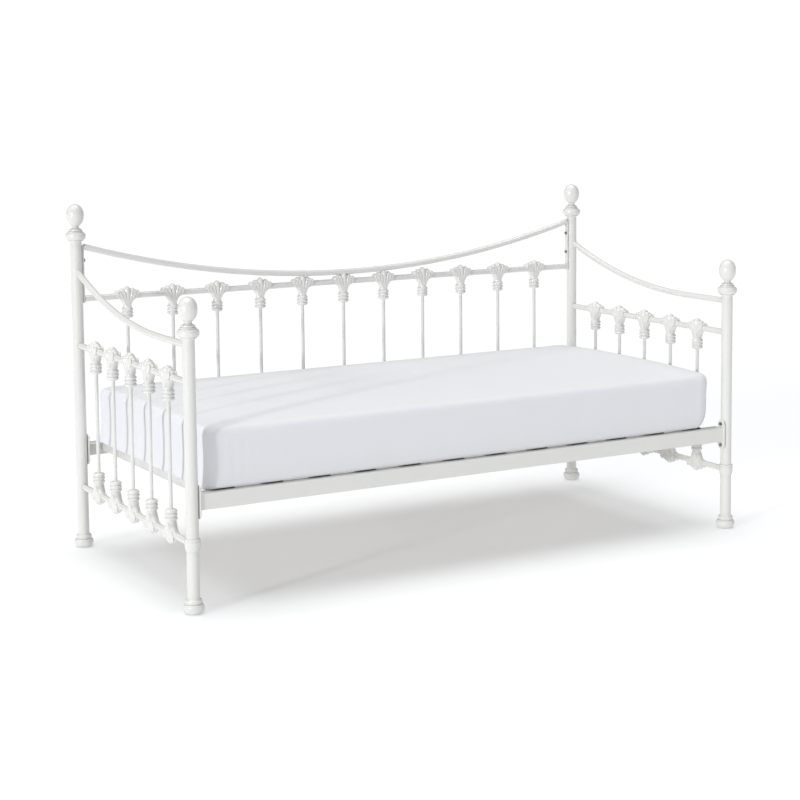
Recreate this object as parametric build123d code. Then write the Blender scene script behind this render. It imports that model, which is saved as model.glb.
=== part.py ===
from build123d import *
import math
import os

os.makedirs("parts", exist_ok=True)

# Victorian style daybed: tube frame with cast finials and joints, slatted base, single mattress.
# Millimetres. X runs along the length, -Y is the open front, +Z is up, the floor is Z = 0.

# Posts
POST_SPAN_X = 2000.0
POST_SPAN_Y = 944.0
POST_DIA = 38.0
POST_WALL = 1.5
BACK_HEIGHT = 1160.0
FRONT_HEIGHT = 940.0
FIT_GAP = 0.1

# Feet: bell shaped caps under the posts
FOOT_HEIGHT = 45.0
FOOT_FLOOR = 5.0
FOOT_BASE_DIA = 42.0
FOOT_BULGE_DIA = 64.0
FOOT_BULGE_Z = 18.0
FOOT_RING_DIA = 52.0
FOOT_RING_LOW_Z = 29.0
FOOT_RING_HIGH_Z = 42.0

# Collar on each post top
TOP_COLLAR_DIA = 67.0
TOP_COLLAR_RIM_DIA = 55.0
TOP_COLLAR_HEIGHT = 34.0
TOP_COLLAR_CAP = 8.0
STUD_DIA = 20.0

# Egg finial
FINIAL_HEIGHT = 89.0
FINIAL_DISC_DIA = 42.0
FINIAL_DISC_HEIGHT = 6.0
FINIAL_NECK_DIA = 22.0
FINIAL_NECK_LOW_Z = 12.0
FINIAL_NECK_HIGH_Z = 17.0
EGG_DIA = 58.0
EGG_WIDEST_Z = 49.0
EGG_LOW_DIA = 44.0
EGG_LOW_Z = 28.0
EGG_HIGH_DIA = 44.0
EGG_HIGH_Z = 72.0

# Collar round each front leg where the lower end rail lands
LEG_COLLAR_WALL = 5.0
LEG_COLLAR_FOOT_WALL = 2.0
LEG_COLLAR_TAPER = 15.0
LEG_COLLAR_LOW_Z = 188.0
LEG_COLLAR_HEIGHT = 37.0

# Horizontal and swooping rails
RAIL_DIA = 20.0
RAIL_WALL = 1.2
BACK_RAIL_Z = 843.0
END_UPPER_Z = 687.0
END_LOWER_Z = 207.0
BACK_SWOOP_ABOVE = 34.0
BACK_SWOOP_RISE = 142.0
END_SWOOP_LOW_Z = 797.0
END_SWOOP_LOW_Y = -250.0
END_SWOOP_RADIUS = 1900.0

# Spindles and the cast joints that hold them
SPINDLE_DIA = 12.0
SPINDLE_WALL = 1.2
BACK_SPINDLES = 11
BACK_PITCH = 165.0
END_SPINDLES = 5
END_PITCH = 155.0
SPINDLE_ENTRY = 24.0
CAST_TIP = 35.0
CAST_NECK_DROP = 40.0
CAST_DROP = 75.0
CAST_NECK_DIA = 27.0
CAST_ROOT_DIA = 25.0
CAST_LOBE_DIA = 27.0
CAST_SIDE_LOBE_DIA = 26.0
CAST_SIDE_REACH = 57.0
CAST_SIDE_ANGLE = 18.0
CAST_OUTER_LOBE_DIA = 26.0
CAST_OUTER_REACH = 47.0
CAST_OUTER_ANGLE = 37.0
CAST_COLLAR_DIA = 37.0
CAST_GROOVE_DIA = 31.0
CAST_BAND = 8.0
CAST_GROOVE = 3.0
CAST_END_DIA = 24.0

# Uprights that bolt the back panel to the back posts
UPRIGHT_THICK = 6.0
UPRIGHT_WIDTH = 16.0
UPRIGHT_BELOW_RAIL = 14.0
UPRIGHT_ABOVE_SWOOP = 2.0
UPRIGHT_BOLT_LOW = 71.0
UPRIGHT_BOLT_HIGH = 49.0

# Long side rails: steel angle with the flange turned inwards
SIDE_RAIL_TOP_Z = 356.0
SIDE_RAIL_HEIGHT = 48.0
SIDE_RAIL_THICK = 2.5
SIDE_RAIL_FLANGE = 45.0
SIDE_RAIL_OUTSET = 12.0

# End plates that bolt the side rails to the posts
PLATE_THICK = 4.0
PLATE_WIDTH = 36.0
PLATE_HEIGHT = 102.0
PLATE_BOLT_PITCH = 74.0

# Bolts
BOLT_DIA = 6.0
BOLT_HEAD_DIA = 12.0
BOLT_HEAD_HEIGHT = 5.0
BOLT_REACH = 7.0

# End cross bars and the long centre support
CROSS_X = 912.0
CROSS_SIZE = 25.0
CROSS_WALL = 1.5
CROSS_DROP = 11.0
CROSS_TAB_THICK = 3.0
CROSS_TAB_HEIGHT = 29.0
CENTRE_WIDTH = 30.0
CENTRE_HEIGHT = 20.0
CENTRE_WALL = 1.5

# Slats, level with the flanges, and the end caps that clip them on
SLAT_COUNT = 12
SLAT_PITCH = 160.0
SLAT_WIDTH = 53.0
SLAT_THICK = 8.0
CAP_WALL = 6.0
CAP_POCKET = 21.0
CAP_PAD = 2.0
CAP_SIDE = 3.0
CAP_LIP = 2.0
CAP_REACH = 8.0

# Mattress and fitted sheet
MATTRESS_LENGTH = 1900.0
MATTRESS_WIDTH = 900.0
MATTRESS_DEPTH = 192.0
MATTRESS_LIFT_GAP = 0.3
MATTRESS_WALL = 12.0
SHEET_THICK = 2.0
SHEET_HEM = 110.0
CORNER_ROUND = 45.0
TOP_ROUND = 25.0
LOW_ROUND = 15.0

POST_X = POST_SPAN_X / 2
POST_Y = POST_SPAN_Y / 2
POST_R = POST_DIA / 2
RAIL_R = RAIL_DIA / 2
SPINDLE_R = SPINDLE_DIA / 2
POST_FACE_X = POST_X - POST_R
RAIL_MID_Z = SIDE_RAIL_TOP_Z - SIDE_RAIL_HEIGHT / 2
SLAT_TOP_Z = SIDE_RAIL_TOP_Z + CAP_LIP
SLAT_LOW_Z = SLAT_TOP_Z - SLAT_THICK
FLANGE_EDGE_Y = POST_Y + SIDE_RAIL_OUTSET - SIDE_RAIL_FLANGE
SLAT_END_Y = FLANGE_EDGE_Y - CAP_WALL
LEG_COLLAR_DIA = POST_DIA + 2 * LEG_COLLAR_WALL
LEG_COLLAR_FOOT_DIA = POST_DIA + 2 * LEG_COLLAR_FOOT_WALL
BACK_SWOOP_LOW_Z = BACK_RAIL_Z + BACK_SWOOP_ABOVE
BACK_SWOOP_RADIUS = (POST_FACE_X**2 + BACK_SWOOP_RISE**2) / (2 * BACK_SWOOP_RISE)
UPRIGHT_LOW_Z = BACK_RAIL_Z - UPRIGHT_BELOW_RAIL
UPRIGHT_HIGH_Z = BACK_SWOOP_LOW_Z + BACK_SWOOP_RISE + UPRIGHT_ABOVE_SWOOP
UPRIGHT_BOLT_LOW_Z = UPRIGHT_LOW_Z + UPRIGHT_BOLT_LOW
UPRIGHT_BOLT_HIGH_Z = UPRIGHT_HIGH_Z - UPRIGHT_BOLT_HIGH
CROSS_TOP_Z = SLAT_TOP_Z - CROSS_DROP
CROSS_LOW_Z = CROSS_TOP_Z - CROSS_SIZE

POSTS = {
    "front_left": (-1, -1, FRONT_HEIGHT),
    "front_right": (1, -1, FRONT_HEIGHT),
    "back_left": (-1, 1, BACK_HEIGHT),
    "back_right": (1, 1, BACK_HEIGHT),
}


def turned(points):
    """Turn a closed outline of (radius, height) points about the upright axis."""
    outline = [(r, 0, z) for r, z in points]
    face = make_face(Polyline(*outline, close=True))
    return revolve(face, axis=Axis.Z)


def upright_cylinder(radius, low_z, high_z):
    return Pos(0, 0, low_z) * Cylinder(radius, high_z - low_z, align=(Align.CENTER, Align.CENTER, Align.MIN))


def cylinder_between(radius, start, end):
    line = Vector(*end) - Vector(*start)
    plane = Plane(origin=start, z_dir=line)
    return plane * Cylinder(radius, line.length, align=(Align.CENTER, Align.CENTER, Align.MIN))


def tube_between(radius, wall, start, end):
    return cylinder_between(radius, start, end) - cylinder_between(radius - wall, start, end)


def swept_tube(radius, wall, path):
    """Sweep a ring along a path that starts in its own plane."""
    plane = Plane(origin=path @ 0, z_dir=path % 0)
    ring = plane * (Circle(radius) - Circle(radius - wall))
    return sweep(ring, path=path)


def save(shape, node):
    export_step(shape, "parts/" + node + ".step")


# Posts: round steel tube, open at both ends, drilled for the bolts they take
def post_top(height):
    return height - FINIAL_HEIGHT - TOP_COLLAR_CAP


def bolt_heights(corner):
    heights = [RAIL_MID_Z - PLATE_BOLT_PITCH / 2, RAIL_MID_Z + PLATE_BOLT_PITCH / 2]
    if corner.startswith("back"):
        heights += [UPRIGHT_BOLT_LOW_Z, UPRIGHT_BOLT_HIGH_Z]
    return heights


def make_post(corner):
    side_x, side_y, height = POSTS[corner]
    tube = upright_cylinder(POST_R, FOOT_FLOOR, post_top(height))
    tube -= upright_cylinder(POST_R - POST_WALL, FOOT_FLOOR, post_top(height))
    for z in bolt_heights(corner):
        tube -= cylinder_between(BOLT_DIA / 2 + FIT_GAP, (0, 0, z), (-side_x * POST_DIA, 0, z))
    return Pos(side_x * POST_X, side_y * POST_Y, 0) * tube


# Feet: moulded bell caps pushed on to the post ends
def make_foot():
    base_r = FOOT_BASE_DIA / 2
    bulge_r = FOOT_BULGE_DIA / 2
    ring_r = FOOT_RING_DIA / 2
    socket_r = POST_R + FIT_GAP
    outer = ThreePointArc((base_r, 0, 0), (bulge_r, 0, FOOT_BULGE_Z), (ring_r, 0, FOOT_RING_LOW_Z))
    rest = Polyline(
        (ring_r, 0, FOOT_RING_LOW_Z),
        (ring_r, 0, FOOT_RING_HIGH_Z),
        (socket_r + POST_WALL, 0, FOOT_HEIGHT),
        (socket_r, 0, FOOT_HEIGHT),
        (socket_r, 0, FOOT_FLOOR),
        (0, 0, FOOT_FLOOR),
        (0, 0, 0),
        (base_r, 0, 0),
    )
    return revolve(make_face([outer, rest]), axis=Axis.Z)


# Top collar: cast ring closed by a cap that the finial's stud passes through
def make_top_collar():
    rim_r = TOP_COLLAR_RIM_DIA / 2
    bore_r = POST_R + FIT_GAP
    stud_r = STUD_DIA / 2 + FIT_GAP
    cap_z = TOP_COLLAR_HEIGHT - TOP_COLLAR_CAP
    bulge = ThreePointArc(
        (rim_r, 0, 0),
        (TOP_COLLAR_DIA / 2, 0, TOP_COLLAR_HEIGHT / 2),
        (rim_r, 0, TOP_COLLAR_HEIGHT),
    )
    rest = Polyline(
        (rim_r, 0, TOP_COLLAR_HEIGHT),
        (stud_r, 0, TOP_COLLAR_HEIGHT),
        (stud_r, 0, cap_z),
        (bore_r, 0, cap_z),
        (bore_r, 0, 0),
        (rim_r, 0, 0),
    )
    return revolve(make_face([bulge, rest]), axis=Axis.Z)


# Finial: egg on a narrow neck over a thin disc, with a stud below
def make_finial():
    stud_r = STUD_DIA / 2
    disc_r = FINIAL_DISC_DIA / 2
    neck_r = FINIAL_NECK_DIA / 2
    foot = Polyline(
        (0, 0, FINIAL_HEIGHT),
        (0, 0, -TOP_COLLAR_CAP),
        (stud_r, 0, -TOP_COLLAR_CAP),
        (stud_r, 0, 0),
        (disc_r, 0, 0),
        (disc_r, 0, FINIAL_DISC_HEIGHT),
        (neck_r, 0, FINIAL_NECK_LOW_Z),
        (neck_r, 0, FINIAL_NECK_HIGH_Z),
    )
    egg = Spline(
        (neck_r, 0, FINIAL_NECK_HIGH_Z),
        (EGG_LOW_DIA / 2, 0, EGG_LOW_Z),
        (EGG_DIA / 2, 0, EGG_WIDEST_Z),
        (EGG_HIGH_DIA / 2, 0, EGG_HIGH_Z),
        (0, 0, FINIAL_HEIGHT),
        tangents=((1, 0, 0.5), (-1, 0, 0.35)),
    )
    return revolve(make_face([foot, egg]), axis=Axis.Z)


# Leg collar: cast sleeve, straight above and tapered below
def make_leg_collar():
    outer_r = LEG_COLLAR_DIA / 2
    low_r = LEG_COLLAR_FOOT_DIA / 2
    bore_r = POST_R + FIT_GAP
    high_z = LEG_COLLAR_LOW_Z + LEG_COLLAR_HEIGHT
    return turned([
        (bore_r, LEG_COLLAR_LOW_Z),
        (low_r, LEG_COLLAR_LOW_Z),
        (outer_r, LEG_COLLAR_LOW_Z + LEG_COLLAR_TAPER),
        (outer_r, high_z),
        (bore_r, high_z),
    ])


# Cast joint: five lobed shell over the rail, waist, then a banded collar for the spindle
def make_lobe(dia, reach, angle):
    radius = dia / 2
    outline = Polyline((0, 0, reach + radius), (0, 0, 0), (CAST_ROOT_DIA / 2, 0, 0), (radius, 0, reach))
    half = radius * math.sqrt(0.5)
    tip = ThreePointArc((radius, 0, reach), (half, 0, reach + half), (0, 0, reach + radius))
    lobe = revolve(make_face([outline, tip]), axis=Axis.Z)
    return Pos(0, 0, -CAST_NECK_DROP) * Rot(0, angle, 0) * lobe


def make_casting():
    lobes = [make_lobe(CAST_LOBE_DIA, CAST_TIP + CAST_NECK_DROP - CAST_LOBE_DIA / 2, 0)]
    for side in (-1, 1):
        lobes.append(make_lobe(CAST_SIDE_LOBE_DIA, CAST_SIDE_REACH, side * CAST_SIDE_ANGLE))
        lobes.append(make_lobe(CAST_OUTER_LOBE_DIA, CAST_OUTER_REACH, side * CAST_OUTER_ANGLE))
    band_r = CAST_COLLAR_DIA / 2
    groove_r = CAST_GROOVE_DIA / 2
    neck_r = CAST_NECK_DIA / 2
    outline = [(0, CAST_BAND - CAST_NECK_DROP), (neck_r, CAST_BAND - CAST_NECK_DROP), (neck_r, -CAST_NECK_DROP)]
    z = -CAST_NECK_DROP - CAST_GROOVE
    for _ in range(2):
        outline += [(band_r, z), (band_r, z - CAST_BAND), (groove_r, z - CAST_BAND)]
        z -= CAST_BAND + CAST_GROOVE
        outline += [(groove_r, z)]
    outline += [(band_r, z), (band_r, z - CAST_GROOVE), (CAST_END_DIA / 2, -CAST_DROP), (0, -CAST_DROP)]
    shell = turned(outline)
    for lobe in lobes:
        shell += lobe
    rail = cylinder_between(RAIL_R + FIT_GAP, (-CAST_DROP, 0, 0), (CAST_DROP, 0, 0))
    socket_z = SPINDLE_ENTRY - CAST_DROP
    socket = upright_cylinder(SPINDLE_R + FIT_GAP, -CAST_DROP - CAST_GROOVE, socket_z)
    return shell - rail - socket


def turned_casting(casting, flipped, along_y):
    placed = Rot(180, 0, 0) * casting if flipped else casting
    return Rot(0, 0, 90) * placed if along_y else placed


def spindle_stations(count, pitch):
    return [(i - (count - 1) / 2) * pitch for i in range(count)]


def make_spindle(low_z, high_z):
    return upright_cylinder(SPINDLE_R, low_z, high_z) - upright_cylinder(
        SPINDLE_R - SPINDLE_WALL, low_z, high_z
    )


# Swooping rails
def back_swoop_path():
    end_x = POST_FACE_X
    rise = BACK_SWOOP_RADIUS - math.sqrt(BACK_SWOOP_RADIUS**2 - end_x**2)
    high_z = BACK_SWOOP_LOW_Z + rise
    return ThreePointArc(
        (-end_x, POST_Y, high_z), (0, POST_Y, BACK_SWOOP_LOW_Z), (end_x, POST_Y, high_z)
    )


def end_swoop_path(x):
    def height(y):
        run = y - END_SWOOP_LOW_Y
        return END_SWOOP_LOW_Z + END_SWOOP_RADIUS - math.sqrt(END_SWOOP_RADIUS**2 - run**2)

    middle = (POST_Y + END_SWOOP_LOW_Y) / 2
    low = (x, END_SWOOP_LOW_Y, END_SWOOP_LOW_Z)
    flat = Line((x, -POST_Y, END_SWOOP_LOW_Z), low)
    curve = ThreePointArc(low, (x, middle, height(middle)), (x, POST_Y, height(POST_Y)))
    return Wire([flat.edge(), curve.edge()])


# Post stations: everything that belongs to one corner
foot = make_foot()
top_collar = make_top_collar()
finial = make_finial()
leg_collar = make_leg_collar()
for corner, (side_x, side_y, height) in POSTS.items():
    at_post = Pos(side_x * POST_X, side_y * POST_Y, 0)
    collar_z = height - FINIAL_HEIGHT - TOP_COLLAR_HEIGHT
    save(make_post(corner), "post_" + corner)
    save(at_post * foot, "foot_" + corner)
    save(at_post * Pos(0, 0, collar_z) * top_collar, "top_collar_" + corner)
    save(at_post * Pos(0, 0, height - FINIAL_HEIGHT) * finial, "finial_" + corner)
    if side_y < 0:
        save(at_post * leg_collar, "leg_collar_" + corner)

# End panels: swoop rail, upper and lower rail, spindles and cast joints
casting = make_casting()
end_spindle = make_spindle(END_LOWER_Z + CAST_DROP - SPINDLE_ENTRY, END_UPPER_Z - CAST_DROP + SPINDLE_ENTRY)
for side_x, side in ((-1, "left"), (1, "right")):
    x = side_x * POST_X
    post_cut = Pos(x, POST_Y, 0) * upright_cylinder(POST_R, 0, BACK_HEIGHT)
    post_cut += Pos(x, -POST_Y, 0) * upright_cylinder(POST_R, 0, FRONT_HEIGHT)
    collar_cut = Pos(x, -POST_Y, LEG_COLLAR_LOW_Z + LEG_COLLAR_TAPER) * Cylinder(
        LEG_COLLAR_DIA / 2, LEG_COLLAR_HEIGHT, align=(Align.CENTER, Align.CENTER, Align.CENTER)
    )
    swoop = swept_tube(RAIL_R, RAIL_WALL, end_swoop_path(x)) - post_cut
    upper = tube_between(RAIL_R, RAIL_WALL, (x, -POST_Y, END_UPPER_Z), (x, POST_Y, END_UPPER_Z))
    lower = tube_between(RAIL_R, RAIL_WALL, (x, -POST_Y, END_LOWER_Z), (x, POST_Y, END_LOWER_Z))
    save(swoop, side + "_swoop_rail")
    save(upper - post_cut, side + "_upper_rail")
    save(lower - post_cut - collar_cut, side + "_lower_rail")
    stations = spindle_stations(END_SPINDLES, END_PITCH)
    save(Compound([Pos(x, y, 0) * end_spindle for y in stations]), side + "_spindles")
    castings = [Pos(x, y, END_UPPER_Z) * turned_casting(casting, False, True) for y in stations]
    castings += [Pos(x, y, END_LOWER_Z) * turned_casting(casting, True, True) for y in stations]
    save(Compound(castings), side + "_castings")

# Back panel: swoop rail, straight rail, uprights, spindles and cast joints
panel_end_x = POST_FACE_X - UPRIGHT_THICK
inside_panel = Box(2 * panel_end_x, POST_SPAN_Y * 2, BACK_HEIGHT * 2)
back_swoop = swept_tube(RAIL_R, RAIL_WALL, back_swoop_path()) & inside_panel
save(back_swoop, "back_swoop_rail")
back_rail = tube_between(
    RAIL_R, RAIL_WALL, (-panel_end_x, POST_Y, BACK_RAIL_Z), (panel_end_x, POST_Y, BACK_RAIL_Z)
)
save(back_rail, "back_upper_rail")
back_swoop_solid = Pos(0, POST_Y, BACK_SWOOP_LOW_Z + BACK_SWOOP_RADIUS) * Rot(90, 0, 0) * Torus(
    BACK_SWOOP_RADIUS, RAIL_R + FIT_GAP
)
back_castings = []
for x in spindle_stations(BACK_SPINDLES, BACK_PITCH):
    placed = Pos(x, POST_Y, BACK_RAIL_Z) * casting
    if abs(x) < 2 * BACK_PITCH:
        placed -= back_swoop_solid
    back_castings.append(placed)
save(Compound(back_castings), "back_castings")
spindle_foot_z = SIDE_RAIL_TOP_Z - SIDE_RAIL_THICK - SPINDLE_R
back_spindle = make_spindle(spindle_foot_z, BACK_RAIL_Z - CAST_DROP + SPINDLE_ENTRY)
save(
    Compound([Pos(x, POST_Y, 0) * back_spindle for x in spindle_stations(BACK_SPINDLES, BACK_PITCH)]),
    "back_spindles",
)
for side_x, side in ((-1, "left"), (1, "right")):
    centre_x = side_x * (POST_FACE_X - UPRIGHT_THICK / 2)
    middle_z = (UPRIGHT_LOW_Z + UPRIGHT_HIGH_Z) / 2
    bar = Pos(centre_x, POST_Y, middle_z) * Box(
        UPRIGHT_THICK, UPRIGHT_WIDTH, UPRIGHT_HIGH_Z - UPRIGHT_LOW_Z
    )
    for z in (UPRIGHT_BOLT_LOW_Z, UPRIGHT_BOLT_HIGH_Z):
        bar -= cylinder_between(
            BOLT_DIA / 2 + FIT_GAP, (side_x * panel_end_x / 2, POST_Y, z), (side_x * POST_X, POST_Y, z)
        )
    save(bar, "back_upright_" + side)


# Side rails: rolled steel angle between the two end plates
def make_side_rail(side_y, holes):
    length = 2 * (POST_FACE_X - PLATE_THICK)
    outer_y = POST_Y + SIDE_RAIL_OUTSET
    face_y = side_y * (outer_y - SIDE_RAIL_THICK / 2)
    flange_y = side_y * (outer_y - SIDE_RAIL_FLANGE / 2)
    flange_z = SIDE_RAIL_TOP_Z - SIDE_RAIL_THICK / 2
    rail = Pos(0, face_y, RAIL_MID_Z) * Box(length, SIDE_RAIL_THICK, SIDE_RAIL_HEIGHT)
    rail += Pos(0, flange_y, flange_z) * Box(length, SIDE_RAIL_FLANGE, SIDE_RAIL_THICK)
    for x in holes:
        rail -= Pos(x, side_y * POST_Y, 0) * upright_cylinder(
            SPINDLE_R + FIT_GAP, RAIL_MID_Z, SIDE_RAIL_TOP_Z + SIDE_RAIL_THICK
        )
    return rail


save(make_side_rail(-1, []), "front_side_rail")
save(make_side_rail(1, spindle_stations(BACK_SPINDLES, BACK_PITCH)), "back_side_rail")


# End plates with rounded ears, bolted above and below the rail
def make_rail_plate():
    outline = Plane.YZ * RectangleRounded(PLATE_WIDTH, PLATE_HEIGHT, PLATE_WIDTH / 2 - FIT_GAP)
    plate = extrude(outline, PLATE_THICK / 2, both=True)
    for side_z in (-1, 1):
        z = side_z * PLATE_BOLT_PITCH / 2
        plate -= cylinder_between(BOLT_DIA / 2 + FIT_GAP, (-PLATE_THICK, 0, z), (PLATE_THICK, 0, z))
    return plate


rail_plate = make_rail_plate()
for corner, (side_x, side_y, _) in POSTS.items():
    plate_x = side_x * (POST_FACE_X - PLATE_THICK / 2)
    save(Pos(plate_x, side_y * POST_Y, RAIL_MID_Z) * rail_plate, "rail_plate_" + corner)


# Bolts: domed heads on the inside, shanks through into the posts
def make_bolt(seat_depth):
    shank = Cylinder(BOLT_DIA / 2, seat_depth + BOLT_REACH, align=(Align.CENTER, Align.CENTER, Align.MIN))
    head = Pos(0, 0, -BOLT_HEAD_HEIGHT) * Cylinder(
        BOLT_HEAD_DIA / 2, BOLT_HEAD_HEIGHT, align=(Align.CENTER, Align.CENTER, Align.MIN)
    )
    return shank + head


def placed_bolt(bolt, side_x, side_y, z, seat_depth):
    seat = (side_x * (POST_FACE_X - seat_depth), side_y * POST_Y, z)
    return Plane(origin=seat, z_dir=(side_x, 0, 0)) * bolt


rail_bolt = make_bolt(PLATE_THICK)
rail_bolts = [
    placed_bolt(rail_bolt, side_x, side_y, RAIL_MID_Z + side_z * PLATE_BOLT_PITCH / 2, PLATE_THICK)
    for side_x, side_y, _ in POSTS.values()
    for side_z in (-1, 1)
]
save(Compound(rail_bolts), "rail_bolts")
panel_bolt = make_bolt(UPRIGHT_THICK)
panel_bolts = [
    placed_bolt(panel_bolt, side_x, 1, z, UPRIGHT_THICK)
    for side_x in (-1, 1)
    for z in (UPRIGHT_BOLT_LOW_Z, UPRIGHT_BOLT_HIGH_Z)
]
save(Compound(panel_bolts), "panel_bolts")


# End cross bars: square tube with a tab at each end, and the centre support between them
def make_cross_bar():
    inner_y = POST_Y + SIDE_RAIL_OUTSET - SIDE_RAIL_THICK
    tube_length = 2 * (inner_y - CROSS_TAB_THICK)
    middle_z = CROSS_LOW_Z + CROSS_SIZE / 2
    hollow = CROSS_SIZE - 2 * CROSS_WALL
    bar = Pos(0, 0, middle_z) * Box(CROSS_SIZE, tube_length, CROSS_SIZE)
    bar -= Pos(0, 0, middle_z) * Box(hollow, tube_length, hollow)
    for side_y in (-1, 1):
        bar += Pos(0, side_y * (inner_y - CROSS_TAB_THICK / 2), CROSS_LOW_Z + CROSS_TAB_HEIGHT / 2) * Box(
            CROSS_SIZE, CROSS_TAB_THICK, CROSS_TAB_HEIGHT
        )
    return bar


cross_bar = make_cross_bar()
save(Pos(-CROSS_X, 0, 0) * cross_bar, "left_cross_bar")
save(Pos(CROSS_X, 0, 0) * cross_bar, "right_cross_bar")
centre_length = 2 * CROSS_X - CROSS_SIZE
centre_support = Box(centre_length, CENTRE_WIDTH, CENTRE_HEIGHT)
centre_support -= Box(centre_length, CENTRE_WIDTH - 2 * CENTRE_WALL, CENTRE_HEIGHT - 2 * CENTRE_WALL)
save(Pos(0, 0, SLAT_LOW_Z - CENTRE_HEIGHT / 2) * centre_support, "centre_support_rail")


# Slats and the moulded caps: a pocket for the slat's end, and two lips that clip over the flange
def cap_box(width, inner_y, outer_y, low_z, high_z):
    place = Pos(0, (inner_y + outer_y) / 2, (low_z + high_z) / 2)
    return place * Box(width, outer_y - inner_y, high_z - low_z)


def make_cap():
    width = SLAT_WIDTH + 2 * CAP_SIDE
    inner_y = SLAT_END_Y - CAP_POCKET
    outer_y = FLANGE_EDGE_Y + CAP_REACH
    flange_low_z = SIDE_RAIL_TOP_Z - SIDE_RAIL_THICK
    body = cap_box(width, inner_y, FLANGE_EDGE_Y, SLAT_LOW_Z - CAP_PAD, SLAT_TOP_Z)
    body += cap_box(width, FLANGE_EDGE_Y, outer_y, SIDE_RAIL_TOP_Z, SLAT_TOP_Z)
    body += cap_box(width, FLANGE_EDGE_Y, outer_y, flange_low_z - CAP_LIP, flange_low_z)
    return body - cap_box(SLAT_WIDTH, inner_y, SLAT_END_Y, SLAT_LOW_Z, SLAT_TOP_Z)


cap = make_cap()
slat = Pos(0, 0, SLAT_LOW_Z + SLAT_THICK / 2) * Box(SLAT_WIDTH, 2 * SLAT_END_Y, SLAT_THICK)
caps = []
for i, x in enumerate(spindle_stations(SLAT_COUNT, SLAT_PITCH)):
    save(Pos(x, 0, 0) * slat, "slat_" + str(i + 1).zfill(2))
    caps += [Pos(x, 0, 0) * cap, Pos(x, 0, 0) * Rot(0, 0, 180) * cap]
save(Compound(caps), "slat_caps")


# Mattress, a quilted wall round the hollow that its springs fill, in its fitted sheet
def soft_block(inset):
    height = MATTRESS_DEPTH - 2 * inset
    block = Box(MATTRESS_LENGTH - 2 * inset, MATTRESS_WIDTH - 2 * inset, height)
    block = fillet(block.edges().filter_by(Axis.Z), CORNER_ROUND - inset)
    block = fillet(block.edges().group_by(Axis.Z)[-1], TOP_ROUND - inset)
    block = fillet(block.edges().group_by(Axis.Z)[0], LOW_ROUND - inset)
    return block


mattress_mid_z = SLAT_TOP_Z + MATTRESS_LIFT_GAP + MATTRESS_DEPTH / 2
mattress_block = soft_block(SHEET_THICK)
mattress = mattress_block - soft_block(SHEET_THICK + MATTRESS_WALL)
opening = Pos(0, 0, -MATTRESS_DEPTH / 2) * Box(
    MATTRESS_LENGTH - 2 * SHEET_HEM, MATTRESS_WIDTH - 2 * SHEET_HEM, MATTRESS_DEPTH
)
sheet = soft_block(0) - mattress_block - opening
save(Pos(0, 0, mattress_mid_z) * mattress, "mattress")
save(Pos(0, 0, mattress_mid_z) * sheet, "fitted_sheet")
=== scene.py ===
import math

import bmesh
import bpy
from mathutils import Matrix, Vector, geometry


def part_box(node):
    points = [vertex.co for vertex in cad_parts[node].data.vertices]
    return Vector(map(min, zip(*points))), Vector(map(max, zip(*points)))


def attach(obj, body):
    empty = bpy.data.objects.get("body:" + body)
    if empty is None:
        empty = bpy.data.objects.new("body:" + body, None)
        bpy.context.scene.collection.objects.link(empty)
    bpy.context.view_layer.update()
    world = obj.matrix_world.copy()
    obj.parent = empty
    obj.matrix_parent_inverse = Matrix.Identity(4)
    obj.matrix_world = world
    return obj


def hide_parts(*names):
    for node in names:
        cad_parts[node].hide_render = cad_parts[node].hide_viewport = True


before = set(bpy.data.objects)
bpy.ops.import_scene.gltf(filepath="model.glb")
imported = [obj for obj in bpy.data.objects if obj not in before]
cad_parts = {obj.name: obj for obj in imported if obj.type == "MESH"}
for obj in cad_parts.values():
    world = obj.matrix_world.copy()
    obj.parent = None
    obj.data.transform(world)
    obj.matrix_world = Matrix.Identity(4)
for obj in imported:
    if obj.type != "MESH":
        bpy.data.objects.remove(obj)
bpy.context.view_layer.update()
scene = bpy.context.scene
scene.view_settings.view_transform = "Standard"

# Camera: it stands in front of the left end at head height and looks along the length of the bed.
CAMERA_PLACE = (-3.0675, -5.4217, 1.5386)
CAMERA_YAW = 0.5326
CAMERA_PITCH = -0.1042
CAMERA_ROLL = -0.0074
CAMERA_LENS = 83.08
CAMERA_FILM = 36
CAMERA_SHIFT = (-0.05, -0.15)
camera_data = bpy.data.cameras.new("camera")
camera_data.sensor_width = CAMERA_FILM
camera_data.lens = CAMERA_LENS
camera_data.shift_x, camera_data.shift_y = CAMERA_SHIFT
camera = bpy.data.objects.new("camera", camera_data)
scene.collection.objects.link(camera)
camera.matrix_world = (
    Matrix.Translation(CAMERA_PLACE)
    @ Matrix.Rotation(-CAMERA_YAW, 4, "Z")
    @ Matrix.Rotation(math.pi / 2 + CAMERA_PITCH, 4, "X")
    @ Matrix.Rotation(CAMERA_ROLL, 4, "Z")
)
scene.camera = camera


# Studio: a wide white floor that glows a little, so that it stays white where no shadow falls,
# under an even white surround. A broad light from above lays a soft shadow under the bed, a low
# one from the left draws the spindles' shadows on the mattress, and two lamps glint in the enamel.
def new_material(name):
    """A node material with a Principled shader: (material, its nodes, its links, the shader)."""
    material = bpy.data.materials.new(name)
    material.use_nodes = True
    nodes = material.node_tree.nodes
    return material, nodes, material.node_tree.links, nodes["Principled BSDF"]


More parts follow.
